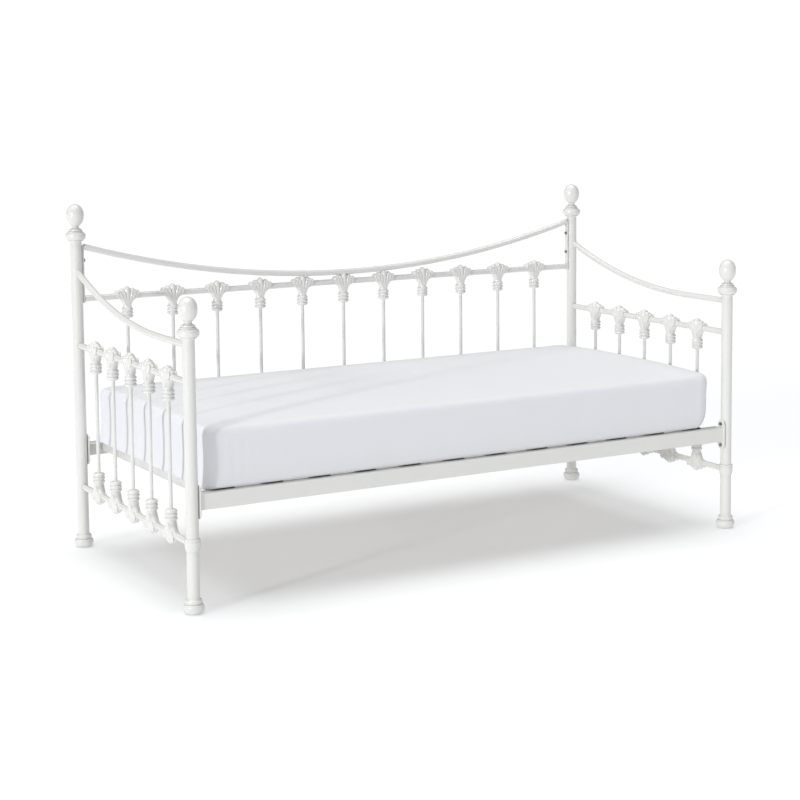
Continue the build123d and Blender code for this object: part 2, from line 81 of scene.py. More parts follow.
FLOOR_REACH = 40
FLOOR_TINT = (0.70, 0.715, 0.735, 1)
FLOOR_GLOW = 0.28
SURROUND_STRENGTH = 0.34
SURROUND_TINT = (0.955, 0.975, 1, 1)
BACKDROP_STRENGTH = 1.05
floor_paint, _, _, floor_shader = new_material("floor_paint")
floor_shader.inputs["Base Color"].default_value = FLOOR_TINT
floor_shader.inputs["Roughness"].default_value = 0.7
floor_shader.inputs["Specular IOR Level"].default_value = 0.15
floor_shader.inputs["Emission Color"].default_value = (1, 1, 1, 1)
floor_shader.inputs["Emission Strength"].default_value = FLOOR_GLOW
floor_form = bmesh.new()
bmesh.ops.create_grid(floor_form, x_segments=4, y_segments=4, size=FLOOR_REACH)
floor_mesh = bpy.data.meshes.new("studio_floor")
floor_form.to_mesh(floor_mesh)
floor_form.free()
floor_mesh.materials.append(floor_paint)
studio_floor = bpy.data.objects.new("studio_floor", floor_mesh)
scene.collection.objects.link(studio_floor)

world = bpy.data.worlds.new("surround")
scene.world = world
world.use_nodes = True
sky = world.node_tree.nodes
surround = sky["Background"]
surround.inputs["Color"].default_value = SURROUND_TINT
surround.inputs["Strength"].default_value = SURROUND_STRENGTH
backdrop = sky.new("ShaderNodeBackground")
backdrop.inputs["Color"].default_value = (1, 1, 1, 1)
backdrop.inputs["Strength"].default_value = BACKDROP_STRENGTH
seen = sky.new("ShaderNodeLightPath")
choice = sky.new("ShaderNodeMixShader")
join = world.node_tree.links
join.new(seen.outputs["Is Camera Ray"], choice.inputs["Fac"])
join.new(surround.outputs["Background"], choice.inputs[1])
join.new(backdrop.outputs["Background"], choice.inputs[2])
join.new(choice.outputs["Shader"], sky["World Output"].inputs["Surface"])


def add_sun(name, strength, tint, spread, towards):
    """A far light of a given angular width that shines along a direction."""
    data = bpy.data.lights.new(name, "SUN")
    data.energy = strength
    data.color = tint
    data.angle = math.radians(spread)
    lamp = bpy.data.objects.new(name, data)
    scene.collection.objects.link(lamp)
    lamp.rotation_euler = Vector(towards).to_track_quat("-Z", "Y").to_euler()


def add_softbox(name, power, width, height, place, target):
    """A rectangular soft light that faces a point."""
    data = bpy.data.lights.new(name, "AREA")
    data.shape = "RECTANGLE"
    data.size = width
    data.size_y = height
    data.energy = power
    lamp = bpy.data.objects.new(name, data)
    scene.collection.objects.link(lamp)
    lamp.location = place
    lamp.rotation_euler = (Vector(target) - Vector(place)).to_track_quat("-Z", "Y").to_euler()


add_sun("overhead_light", 2.15, (1, 0.985, 0.95), 60, (0.05, -0.06, -1))
add_sun("left_light", 1.3, (1, 1, 1), 4, (0.80, 0.32, -0.13))
add_softbox("left_softbox", 10, 0.6, 2.4, (-4.4, -1.8, 1.3), (0, 0, 0.7))
add_softbox("near_left_lamp", 6, 0.18, 0.18, (-2.9, -4.6, 1.4), (0, 0, 0.9))
add_softbox("near_right_lamp", 6, 0.18, 0.18, (-0.6, -5.6, 1.4), (0, 0, 0.9))


# Posts: four round steel tubes in ivory enamel. Each stands in a moulded foot and ends in a cast
# collar; the back pair is taller, because the back panel is bolted to it.
def mixed_tint(nodes, links, source, low, high):
    """A colour that runs from low to high as a texture's value goes from 0 to 1."""
    ramp = nodes.new("ShaderNodeValToRGB")
    ramp.color_ramp.elements[0].color = (*low, 1)
    ramp.color_ramp.elements[1].color = (*high, 1)
    links.new(source, ramp.inputs["Fac"])
    return ramp.outputs["Color"]


def noise_at(nodes, links, scale, detail=2.0, stretch=(1, 1, 1)):
    """Noise on the piece's own coordinates, in grains per metre."""
    place = nodes.new("ShaderNodeTexCoord")
    mapping = nodes.new("ShaderNodeMapping")
    mapping.inputs["Scale"].default_value = stretch
    texture = nodes.new("ShaderNodeTexNoise")
    texture.inputs["Scale"].default_value = scale
    texture.inputs["Detail"].default_value = detail
    links.new(place.outputs["Object"], mapping.inputs["Vector"])
    links.new(mapping.outputs["Vector"], texture.inputs["Vector"])
    return texture.outputs["Fac"]


def ranged(nodes, links, source, low, high):
    """A texture's value moved to the range from low to high."""
    span = nodes.new("ShaderNodeMapRange")
    span.inputs["To Min"].default_value = low
    span.inputs["To Max"].default_value = high
    links.new(source, span.inputs["Value"])
    return span.outputs["Result"]


def raised(nodes, links, source, depth, before=None):
    """Bump from a texture, depth in metres, on top of an earlier bump."""
    bump = nodes.new("ShaderNodeBump")
    bump.inputs["Strength"].default_value = 1.0
    bump.inputs["Distance"].default_value = depth
    links.new(source, bump.inputs["Height"])
    if before is not None:
        links.new(before, bump.inputs["Normal"])
    return bump.outputs["Normal"]


def enamel(name, thin, thick, peel_depth, grain_depth):
    """Baked enamel: a clear gloss over colour, with orange peel over the metal's own grain."""
    material, nodes, links, shader = new_material(name)
    cloud = noise_at(nodes, links, 9)
    links.new(mixed_tint(nodes, links, cloud, thin, thick), shader.inputs["Base Color"])
    patch = noise_at(nodes, links, 60)
    links.new(ranged(nodes, links, patch, 0.16, 0.26), shader.inputs["Roughness"])
    grain = raised(nodes, links, noise_at(nodes, links, 160, 3), grain_depth)
    peel = raised(nodes, links, noise_at(nodes, links, 480), peel_depth, grain)
    links.new(peel, shader.inputs["Normal"])
    shader.inputs["IOR"].default_value = 1.5
    shader.inputs["Coat Weight"].default_value = 0.5
    shader.inputs["Coat Roughness"].default_value = 0.07
    return material


def bend(start, pull_start, pull_end, end, steps=8):
    """Points along a smooth bend between two outline points, the last one left out."""
    corners = [Vector((r, z, 0)) for r, z in (start, pull_start, pull_end, end)]
    return [(p.x, p.y) for p in geometry.interpolate_bezier(*corners, steps + 1)][:-1]


def turn(form, outline, steps=40):
    """Turn an outline of (radius, height) points about the upright axis, into a bmesh."""
    verts = [form.verts.new((r, 0, z)) for r, z in outline]
    edges = [form.edges.new(pair) for pair in zip(verts, verts[1:])]
    bmesh.ops.spin(
        form, geom=verts + edges, axis=(0, 0, 1), cent=(0, 0, 0),
        angle=math.tau, steps=steps, use_merge=True,
    )


def close_up(form):
    """Merge doubled points, fill open ends and turn every face outwards."""
    bmesh.ops.remove_doubles(form, verts=form.verts, dist=1e-6)
    bmesh.ops.holes_fill(form, edges=[e for e in form.edges if e.is_boundary], sides=0)
    bmesh.ops.recalc_face_normals(form, faces=form.faces)


def stand_for(form, name, material, slot, *nodes, body="frame", crease=38):
    """Make a bmesh into a piece that rides on a body and replaces its CAD nodes."""
    mesh = bpy.data.meshes.new(name)
    form.to_mesh(mesh)
    form.free()
    mesh.materials.append(material)
    mesh.shade_smooth()
    mesh.set_sharp_from_angle(angle=math.radians(crease))
    made = bpy.data.objects.new(name, mesh)
    scene.collection.objects.link(made)
    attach(made, body)
    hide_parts(*nodes)
    return made


def box_of(node):
    """Lowest corner, highest corner and middle of a CAD node."""
    low, high = (Vector(corner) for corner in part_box(node))
    return low, high, (low + high) / 2


CORNERS = ("front_left", "front_right", "back_left", "back_right")
POST_SIDES = 56
tube_enamel = enamel("tube_enamel", (0.70, 0.70, 0.68), (0.735, 0.735, 0.715), 0.00002, 0.00004)
post_places = {}
for corner in CORNERS:
    low, high, middle = box_of("post_" + corner)
    post_radius = (high.x - low.x) / 2
    post_places[corner] = Vector((middle.x, middle.y, 0))
    post = bmesh.new()
    turn(post, [(post_radius, low.z), (post_radius, high.z)], POST_SIDES)
    close_up(post)
    bmesh.ops.translate(post, verts=post.verts, vec=post_places[corner])
    stand_for(post, "post_" + corner + "_tube", tube_enamel, "frame_enamel", "post_" + corner)

# Feet: moulded bell caps pushed on to the tube ends, with a rounded ring where the tube goes in.
CAST_SIDES = 64
FOOT_OUTLINE = (
    [(0, 0), (0.0195, 0)]
    + bend((0.0205, 0.0008), (0.027, 0.004), (0.032, 0.010), (0.032, 0.018))
    + bend((0.032, 0.018), (0.032, 0.025), (0.029, 0.029), (0.0235, 0.0292))
    + bend((0.0235, 0.0292), (0.0225, 0.0300), (0.0235, 0.0308), (0.0250, 0.0310), 4)
    + bend((0.0250, 0.0310), (0.0262, 0.0320), (0.0262, 0.0400), (0.0250, 0.0415))
    + bend((0.0250, 0.0415), (0.0235, 0.0430), (0.0215, 0.0440), (0.0192, 0.0450), 4)
    + [(0.0190, 0.0450), (0.0190, 0.040), (0, 0.040)]
)
foot_moulding = enamel("foot_moulding", (0.70, 0.70, 0.68), (0.73, 0.73, 0.71), 0.00001, 0.00002)
for corner in CORNERS:
    foot = bmesh.new()
    turn(foot, FOOT_OUTLINE, CAST_SIDES)
    close_up(foot)
    bmesh.ops.translate(foot, verts=foot.verts, vec=post_places[corner])
    stand_for(foot, "foot_" + corner + "_cap", foot_moulding, "foot_moulding", "foot_" + corner)

# Top collars: cast rings on the post tops, a fat round between a bead above and a bead below.
COLLAR_OUTLINE = (
    [(0.0188, 0.0006), (0.0210, 0.0002)]
    + bend((0.0230, 0.0002), (0.0256, 0.0004), (0.0256, 0.0040), (0.0236, 0.0048), 5)
    + bend((0.0236, 0.0048), (0.0310, 0.0046), (0.0334, 0.0100), (0.0334, 0.0165), 10)
    + bend((0.0334, 0.0165), (0.0334, 0.0235), (0.0310, 0.0285), (0.0240, 0.0288), 10)
    + bend((0.0240, 0.0288), (0.0232, 0.0292), (0.0232, 0.0300), (0.0236, 0.0302), 3)
    + bend((0.0236, 0.0302), (0.0252, 0.0306), (0.0252, 0.0336), (0.0236, 0.0339), 5)
    + [(0.0205, 0.0340), (0, 0.0340), (0, 0.030), (0.0188, 0.030), (0.0188, 0.0006)]
)
cast_enamel = enamel("cast_enamel", (0.71, 0.71, 0.69), (0.745, 0.745, 0.725), 0.00003, 0.00012)
for corner in CORNERS:
    low, high, middle = box_of("top_collar_" + corner)
    collar = bmesh.new()
    turn(collar, COLLAR_OUTLINE, CAST_SIDES)
    close_up(collar)
    bmesh.ops.translate(collar, verts=collar.verts, vec=(middle.x, middle.y, low.z))
    node = "top_collar_" + corner
    stand_for(collar, node + "_ring", cast_enamel, "cast_enamel", node)

# Finials: cast eggs on a narrow neck, screwed down through the collar on to the post.
FINIAL_DISC_Z = 0.0060
FINIAL_OUTLINE = (
    [(0, 0.0002), (0.0195, 0.0002)]
    + bend((0.0205, 0.0004), (0.0214, 0.0018), (0.0214, 0.0045), (0.0200, FINIAL_DISC_Z), 5)
    + bend((0.0200, FINIAL_DISC_Z), (0.0150, 0.0072), (0.0115, 0.0095), (0.0110, 0.0130))
    + bend((0.0110, 0.0130), (0.0110, 0.0160), (0.0150, 0.0180), (0.0180, 0.0212))
    + bend((0.0180, 0.0212), (0.0255, 0.0290), (0.0290, 0.0400), (0.0290, 0.0520), 12)
    + bend((0.0290, 0.0520), (0.0290, 0.0740), (0.0160, 0.0890), (0, 0.0890), 18)
    + [(0, 0.0890)]
)
for corner in CORNERS:
    low, high, middle = box_of("finial_" + corner)
    top_z = box_of("top_collar_" + corner)[1].z
    finial = bmesh.new()
    turn(finial, FINIAL_OUTLINE, CAST_SIDES)
    close_up(finial)
    bmesh.ops.translate(finial, verts=finial.verts, vec=(middle.x, middle.y, top_z))
    node = "finial_" + corner
    stand_for(finial, node + "_egg", cast_enamel, "cast_enamel", node)

# Leg collars: cast sleeves on the front legs, each with a bead at the top and a tapered foot, which
# take the lower rail of an end panel.
LEG_COLLAR_OUTLINE = (
    [(0.0189, 0.0), (0.0200, 0.0)]
    + bend((0.0206, 0.0004), (0.0212, 0.0040), (0.0232, 0.0090), (0.0238, 0.0150), 6)
    + [(0.0238, 0.0150), (0.0238, 0.0285)]
    + bend((0.0226, 0.0292), (0.0222, 0.0300), (0.0222, 0.0304), (0.0228, 0.0312), 3)
    + bend((0.0228, 0.0312), (0.0242, 0.0318), (0.0242, 0.0358), (0.0226, 0.0366), 6)
    + [(0.0205, 0.0370), (0.0189, 0.0370), (0.0189, 0.0)]
)
for corner in CORNERS[:2]:
    low, high, middle = box_of("leg_collar_" + corner)
    sleeve = bmesh.new()
    turn(sleeve, LEG_COLLAR_OUTLINE, POST_SIDES)
    close_up(sleeve)
    bmesh.ops.translate(sleeve, verts=sleeve.verts, vec=(middle.x, middle.y, low.z))
    node = "leg_collar_" + corner
    stand_for(sleeve, node + "_sleeve", cast_enamel, "cast_enamel", node)


# Straight rails: thin steel tube, cut to the posts and welded. Each end has a small weld bead that
# the enamel has run over.
RAIL_RADIUS = 0.010
RAIL_ENTRY = 0.003
WELD_RADIUS = 0.0022
RAIL_SIDES = 32


def add_rod(form, start, end, radius, sides=24):
    """Add a round rod between two points, with closed ends, to a bmesh."""
    line = Vector(end) - Vector(start)
    facing = line.to_track_quat("Z", "Y").to_matrix().to_4x4()
    place = Matrix.Translation((Vector(start) + Vector(end)) / 2) @ facing
    bmesh.ops.create_cone(
        form, cap_ends=True, segments=sides, radius1=radius, radius2=radius,
        depth=line.length, matrix=place,
    )


def add_bead(form, post_middle, height, along, radius):
    """Add a weld bead round a rail's end, bent to the round of its post."""
    ring = bmesh.ops.create_cone(
        form, segments=24, depth=WELD_RADIUS,
        radius1=radius + WELD_RADIUS, radius2=radius + WELD_RADIUS / 3,
    )["verts"]
    facing = Vector(along).to_track_quat("Z", "Y").to_matrix()
    bmesh.ops.rotate(form, verts=ring, cent=(0, 0, 0), matrix=facing)
    for vert in ring:
        across = Vector(along).cross(Vector((0, 0, 1))).dot(vert.co)
        reach = math.sqrt(post_radius**2 - across**2)
        vert.co += Vector(along) * reach
    bmesh.ops.translate(form, verts=ring, vec=(post_middle.x, post_middle.y, height))


END_NAMES = (("left", -1), ("right", 1))
for end_name, _ in END_NAMES:
    for level in ("upper", "lower"):
        node = end_name + "_" + level + "_rail"
        rail_z = box_of(node)[2].z
        front = post_places["front_" + end_name] + Vector((0, post_radius - RAIL_ENTRY, rail_z))
        back = post_places["back_" + end_name] + Vector((0, RAIL_ENTRY - post_radius, rail_z))
        rail = bmesh.new()
        add_rod(rail, front, back, RAIL_RADIUS, RAIL_SIDES)
        add_bead(rail, post_places["front_" + end_name], rail_z, (0, 1, 0), RAIL_RADIUS)
        add_bead(rail, post_places["back_" + end_name], rail_z, (0, -1, 0), RAIL_RADIUS)
        stand_for(rail, node + "_tube", tube_enamel, "frame_enamel", node)

rail_low, rail_high, rail_middle = box_of("back_upper_rail")
back_rail = bmesh.new()
rail_start = (rail_low.x, rail_middle.y, rail_middle.z)
rail_end = (rail_high.x, rail_middle.y, rail_middle.z)
add_rod(back_rail, rail_start, rail_end, RAIL_RADIUS, RAIL_SIDES)
stand_for(back_rail, "back_upper_rail_tube", tube_enamel, "frame_enamel", "back_upper_rail")


# Swooping rails: the same tube rolled to a curve. The back one hangs in one long arc between the
# uprights, and each end one runs level from the front post and then climbs to the back post.
BACK_SWOOP_RADIUS = 3.460
BACK_SWOOP_STEPS = 64
END_SWOOP_RADIUS = 1.900
END_SWOOP_START_Y = -0.250
END_SWOOP_STEPS = 32


def add_curved_tube(form, start, centre, axis, angle, radius, steps):
    """Spin a ring from start round a far centre, into a tube rolled to an arc."""
    spoke = Vector(start) - Vector(centre)
    facing = Vector(axis).cross(spoke).to_track_quat("Z", "Y").to_matrix().to_4x4()
    ring = bmesh.ops.create_circle(
        form, segments=RAIL_SIDES, radius=radius, matrix=Matrix.Translation(start) @ facing
    )["verts"]
    edges = list({edge for vert in ring for edge in vert.link_edges})
    bmesh.ops.spin(form, geom=ring + edges, cent=centre, axis=axis, angle=angle, steps=steps)


swoop_low, swoop_high, swoop_middle = box_of("back_swoop_rail")
swoop_low_z = swoop_low.z + RAIL_RADIUS
half_angle = math.asin(swoop_high.x / BACK_SWOOP_RADIUS)
swoop_centre = Vector((0, swoop_middle.y, swoop_low_z + BACK_SWOOP_RADIUS))
swoop_spoke = Vector((-math.sin(half_angle), 0, -math.cos(half_angle)))
swoop_start = swoop_centre + BACK_SWOOP_RADIUS * swoop_spoke
back_swoop = bmesh.new()
add_curved_tube(
    back_swoop, swoop_start, swoop_centre, (0, -1, 0), 2 * half_angle, RAIL_RADIUS, BACK_SWOOP_STEPS
)
close_up(back_swoop)
stand_for(back_swoop, "back_swoop_rail_tube", tube_enamel, "frame_enamel", "back_swoop_rail")

for end_name, side in END_NAMES:
    node = end_name + "_swoop_rail"
    front = post_places["front_" + end_name]
    back = post_places["back_" + end_name]
    level_z = box_of(node)[0].z + RAIL_RADIUS
    start = Vector((front.x, END_SWOOP_START_Y, level_z))
    centre = start + Vector((0, 0, END_SWOOP_RADIUS))
    climb_run = back.y - post_radius + RAIL_ENTRY - END_SWOOP_START_Y
    climb = math.asin(climb_run / END_SWOOP_RADIUS)
    swoop = bmesh.new()
    add_curved_tube(swoop, start, centre, (1, 0, 0), climb, RAIL_RADIUS, END_SWOOP_STEPS)
    straight = [
        e for e in swoop.edges
        if e.is_boundary and abs(e.verts[0].co.y - END_SWOOP_START_Y) < 1e-5
    ]
    pulled = bmesh.ops.extrude_edge_only(swoop, edges=straight)["geom"]
    pulled_verts = [part for part in pulled if isinstance(part, bmesh.types.BMVert)]
    run = front.y + post_radius - RAIL_ENTRY - END_SWOOP_START_Y
    bmesh.ops.translate(swoop, verts=pulled_verts, vec=(0, run, 0))
    close_up(swoop)
    add_bead(swoop, front, level_z, (0, 1, 0), RAIL_RADIUS)
    stand_for(swoop, node + "_tube", tube_enamel, "frame_enamel", node)

# Uprights: flat bars with eased edges that carry the ends of the back panel and bolt to the posts.
UPRIGHT_EASE = 0.0015


def add_bar(form, low, high, ease, segments=2):
    """Add a bar with eased edges between two corners to a bmesh."""
    low, high = Vector(low), Vector(high)
    place = Matrix.Translation((low + high) / 2) @ Matrix.Diagonal((*(high - low), 1))
    verts = bmesh.ops.create_cube(form, size=1, matrix=place)["verts"]
    edges = list({edge for vert in verts for edge in vert.link_edges})
    bmesh.ops.bevel(
        form, geom=edges, offset=ease, segments=segments, affect="EDGES", profile=0.5, material=-1
    )


for end_name, _ in END_NAMES:
    node = "back_upright_" + end_name
    low, high, _ = box_of(node)
    upright = bmesh.new()
    add_bar(upright, low, high, UPRIGHT_EASE)
    stand_for(upright, node + "_bar", tube_enamel, "frame_enamel", node)

# Spindles: thin steel tube, held at both ends by the cast joints.
SPINDLE_RADIUS = 0.006
BACK_SPINDLES = 11
BACK_PITCH = 0.165
END_SPINDLES = 5
END_PITCH = 0.155


def stations(count, pitch):
    """Evenly spaced places about the middle."""
    return [(i - (count - 1) / 2) * pitch for i in range(count)]


low, high, middle = box_of("back_spindles")
back_spindles = bmesh.new()
for x in stations(BACK_SPINDLES, BACK_PITCH):
    add_rod(back_spindles, (x, middle.y, low.z), (x, middle.y, high.z), SPINDLE_RADIUS)
stand_for(back_spindles, "back_spindle_tubes", tube_enamel, "frame_enamel", "back_spindles")
for end_name, _ in END_NAMES:
    node = end_name + "_spindles"
    low, high, middle = box_of(node)
    spindles = bmesh.new()
    for y in stations(END_SPINDLES, END_PITCH):
        add_rod(spindles, (middle.x, y, low.z), (middle.x, y, high.z), SPINDLE_RADIUS)
    stand_for(spindles, end_name + "_spindle_tubes", tube_enamel, "frame_enamel", node)

# Cast joints: each is poured round the crossing of rail and spindle in a mould. A fan of five
# fluted lobes covers the rail, and a banded neck below it holds the spindle.
LOBE_ANGLES = (0, 21, -21, 43, -43)
LOBE_ROOTS = (-0.040, -0.034, -0.034, -0.024, -0.024)
LOBE_REACHES = (0.0610, 0.0530, 0.0530, 0.0445, 0.0445)
LOBE_RADII = (0.0125, 0.0115, 0.0115, 0.0120, 0.0120)
LOBE_FATNESS = 1.25
FLUTE_ROOT_Z = -0.036
FLUTE_ANGLES = (-30, -15, 0, 15, 30)
FLUTE_RADIUS = 0.0020
FLUTE_REACH = 0.052
FLUTE_DEPTH = 0.0142
FLUTE_ROOT_SPREAD = 0.012
FLUTE_ROOT_DEPTH = 0.0130
PETAL_RIM = 0.325
PETAL_SIZE = (0.0085, 0.0130, 0.0065)
PETAL_LEAN = math.radians(34)
PETAL_PLACE = (0.0270, 0.0118, 0.004)
CASTING_VOXEL = 0.0013
CASTING_KEPT = 0.32
NECK_OUTLINE = (
    [(0, -0.012), (0.0120, -0.012)]
    + bend((0.0145, -0.018), (0.0140, -0.026), (0.0138, -0.036), (0.0158, -0.0415), 8)
    + bend((0.0158, -0.0415), (0.0210, -0.0425), (0.0210, -0.0500), (0.0168, -0.0512), 6)
    + bend((0.0168, -0.0512), (0.0155, -0.0520), (0.0155, -0.0530), (0.0168, -0.0538), 3)
    + bend((0.0168, -0.0538), (0.0210, -0.0548), (0.0210, -0.0612), (0.0168, -0.0622), 6)
    + bend((0.0168, -0.0622), (0.0155, -0.0630), (0.0155, -0.0640), (0.0168, -0.0648), 3)
    + bend((0.0168, -0.0648), (0.0212, -0.0656), (0.0212, -0.0738), (0.0115, -0.0762), 8)
    + [(0, -0.0765)]
)


def baked(piece):
    """A piece's mesh with its modifiers worked in."""
    graph = bpy.context.evaluated_depsgraph_get()
    return bpy.data.meshes.new_from_object(piece.evaluated_get(graph))


def add_lobe(form, angle, root_z, reach, radius):
    """Add one lobe, a long drop that fans out from the neck at an angle, to a bmesh."""
    before = set(form.verts)
    widest = (radius, reach - 0.004)
    tip = (0, reach + radius)
    outline = (
        [(0, 0), (0.0115, 0)]
        + bend((0.0120, 0.001), (0.0125, reach * 0.35), (radius, reach * 0.6), widest, 10)
        + bend(widest, (radius, reach + radius * 0.45), (0.004, reach + radius * 0.86), tip, 10)
        + [tip]
    )
    turn(form, outline, 32)
    lobe = [vert for vert in form.verts if vert not in before]
    bmesh.ops.scale(form, verts=lobe, vec=(1, LOBE_FATNESS, 1))
    lean = Matrix.Rotation(math.radians(angle), 3, "Y")
    bmesh.ops.rotate(form, verts=lobe, cent=(0, 0, 0), matrix=lean)
    bmesh.ops.translate(form, verts=lobe, vec=(0, 0, root_z))


def add_petal(form, side, face):
    """Add the raised rim of one side petal to a bmesh."""
    before = set(form.verts)
    turns = [math.tau * i / 10 for i in range(11)]
    turn(form, [(1 + PETAL_RIM * math.cos(a), 0.45 * math.sin(a)) for a in turns], 28)
    petal = [vert for vert in form.verts if vert not in before]
    bmesh.ops.scale(form, verts=petal, vec=PETAL_SIZE)
    upright = Matrix.Rotation(math.pi / 2, 3, "X")
    lean = Matrix.Rotation(PETAL_LEAN * side, 3, "Y")
    bmesh.ops.rotate(form, verts=petal, cent=(0, 0, 0), matrix=upright)
    bmesh.ops.rotate(form, verts=petal, cent=(0, 0, 0), matrix=lean)
    bmesh.ops.translate(form, verts=petal, vec=(side * PETAL_PLACE[0], face * PETAL_PLACE[1], PETAL_PLACE[2]))


joint = bmesh.new()
for lobe_sizes in zip(LOBE_ANGLES, LOBE_ROOTS, LOBE_REACHES, LOBE_RADII):
    add_lobe(joint, *lobe_sizes)
for face in (-1, 1):
    for angle in FLUTE_ANGLES:
        lean = math.radians(angle)
        foot_point = (FLUTE_ROOT_SPREAD * math.sin(lean), face * FLUTE_ROOT_DEPTH, FLUTE_ROOT_Z)
        head_z = FLUTE_ROOT_Z + FLUTE_REACH * math.cos(lean)
        head_point = (FLUTE_REACH * math.sin(lean), face * FLUTE_DEPTH, head_z)
        add_rod(joint, foot_point, head_point, FLUTE_RADIUS, 10)
    for side in (-1, 1):
        add_petal(joint, side, face)
turn(joint, NECK_OUTLINE, 40)
close_up(joint)
pattern_mesh = bpy.data.meshes.new("joint_pattern")
joint.to_mesh(pattern_mesh)
joint.free()
pattern = bpy.data.objects.new("joint_pattern", pattern_mesh)
scene.collection.objects.link(pattern)
skin = pattern.modifiers.new("skin", "REMESH")
skin.mode = "VOXEL"
skin.voxel_size = CASTING_VOXEL
ease = pattern.modifiers.new("ease", "SMOOTH")
ease.iterations = 2
ease.factor = 0.5
thin_out = pattern.modifiers.new("thin_out", "DECIMATE")
thin_out.ratio = CASTING_KEPT
joint_mesh = baked(pattern)
bpy.data.objects.remove(pattern)


def cast_group(name, node, places):
    """Copy the cast joint to its places, (x, y, z, upside down, along y), as one piece."""
    group = bmesh.new()
    for x, y, z, upside_down, along_y in places:
        before = set(group.verts)
        group.from_mesh(joint_mesh)
        copy = [vert for vert in group.verts if vert not in before]
        spin = Matrix.Rotation(math.pi / 2 if along_y else 0, 4, "Z")
        tip = Matrix.Rotation(math.pi if upside_down else 0, 4, "X")
        bmesh.ops.transform(group, verts=copy, matrix=Matrix.Translation((x, y, z)) @ spin @ tip)
    stand_for(group, name, cast_enamel, "cast_enamel", node, crease=180)


back_places = [
    (x, rail_middle.y, rail_middle.z, False, False) for x in stations(BACK_SPINDLES, BACK_PITCH)
]
cast_group("back_shell_joints", "back_castings", back_places)
for end_name, _ in END_NAMES:
    end_x = post_places["front_" + end_name].x
    upper_z = box_of(end_name + "_upper_rail")[2].z
    lower_z = box_of(end_name + "_lower_rail")[2].z
    end_places = [(end_x, y, upper_z, False, True) for y in stations(END_SPINDLES, END_PITCH)]
    end_places += [(end_x, y, lower_z, True, True) for y in stations(END_SPINDLES, END_PITCH)]
    cast_group(end_name + "_shell_joints", end_name + "_castings", end_places)

# Side rails: rolled steel angle with rounded corners, the flange turned inwards to carry the slats.
RAIL_SECTION_ROUND = 0.0022
SIDE_RAIL_THICK = 0.0025
for face_name, side in (("front", -1), ("back", 1)):
    node = face_name + "_side_rail"
    low, high, middle = box_of(node)
    outer_y = low.y if side < 0 else high.y
    inner_y = high.y if side < 0 else low.y
    section = [
        (outer_y, low.z),
        (outer_y, high.z),
        (inner_y, high.z),
        (inner_y, high.z - SIDE_RAIL_THICK),
        (outer_y - side * SIDE_RAIL_THICK, high.z - SIDE_RAIL_THICK),
        (outer_y - side * SIDE_RAIL_THICK, low.z),
    ]
    angle_rail = bmesh.new()
    corner_verts = [angle_rail.verts.new((low.x, y, z)) for y, z in section]
    end_face = angle_rail.faces.new(corner_verts)
    pulled = bmesh.ops.extrude_face_region(angle_rail, geom=[end_face], use_keep_orig=True)["geom"]
    far_verts = [part for part in pulled if isinstance(part, bmesh.types.BMVert)]
    bmesh.ops.translate(angle_rail, verts=far_verts, vec=(high.x - low.x, 0, 0))
    bmesh.ops.recalc_face_normals(angle_rail, faces=angle_rail.faces)
    heel = [
        e for e in angle_rail.edges
        if all(abs(v.co.y - outer_y) < 1e-6 and abs(v.co.z - high.z) < 1e-6 for v in e.verts)
    ]
    bmesh.ops.bevel(
        angle_rail, geom=heel, offset=RAIL_SECTION_ROUND, segments=5,
        affect="EDGES", profile=0.5, material=-1,
    )
    lips = [
        e for e in angle_rail.edges
        if abs(e.verts[0].co.x - e.verts[1].co.x) > 1
        and any(abs(v.co.z - low.z) < 1e-6 or abs(v.co.y - inner_y) < 1e-6 for v in e.verts)
    ]
    bmesh.ops.bevel(
        angle_rail, geom=lips, offset=SIDE_RAIL_THICK / 4, segments=2,
        affect="EDGES", profile=0.5, material=-1,
    )
    stand_for(angle_rail, node + "_angle", tube_enamel, "frame_enamel", node)

# End plates: pressed steel with round ends, bolted to the post above and below the side rail.
PLATE_SEGMENTS = 12
PLATE_EASE = 0.001
PLATE_FLAT = 0.0005
for corner in CORNERS:
    node = "rail_plate_" + corner
    low, high, middle = box_of(node)
    thick, width, height = high - low
    plate = bmesh.new()
    place = Matrix.Translation(middle) @ Matrix.Diagonal((thick, width, height, 1))
    bmesh.ops.create_cube(plate, size=1, matrix=place)
    ends = [e for e in plate.edges if abs(e.verts[0].co.x - e.verts[1].co.x) > thick / 2]
    bmesh.ops.bevel(
        plate, geom=ends, offset=width / 2 - PLATE_FLAT, segments=PLATE_SEGMENTS,
        affect="EDGES", profile=0.5, material=-1,
    )
    rims = [
        e for e in plate.edges
        if abs(e.verts[0].co.x - e.verts[1].co.x) < thick / 2 and len(e.link_faces) == 2
    ]
    bmesh.ops.bevel(
        plate, geom=rims, offset=PLATE_EASE, segments=2, affect="EDGES", profile=0.5, material=-1
    )
    stand_for(plate, node + "_press", tube_enamel, "frame_enamel", node)

# Bolts: dull zinc-plated steel with hexagon heads on washers, driven from the inside into the posts.
BOLT_HEAD_RADIUS = 0.0058
BOLT_HEAD_HEIGHT = 0.0042
BOLT_HEAD_EASE = 0.0006
WASHER_RADIUS = 0.006
WASHER_THICK = 0.0008
BOLT_SHANK_RADIUS = 0.003
BOLT_DARK = (0.20, 0.20, 0.20)
BOLT_LIGHT = (0.36, 0.355, 0.35)
bolt_steel, nodes, links, shader = new_material("bolt_steel")
wear = noise_at(nodes, links, 900, 3)
links.new(mixed_tint(nodes, links, wear, BOLT_DARK, BOLT_LIGHT), shader.inputs["Base Color"])
links.new(ranged(nodes, links, wear, 0.28, 0.5), shader.inputs["Roughness"])
links.new(raised(nodes, links, wear, 0.00005), shader.inputs["Normal"])
shader.inputs["Metallic"].default_value = 1.0


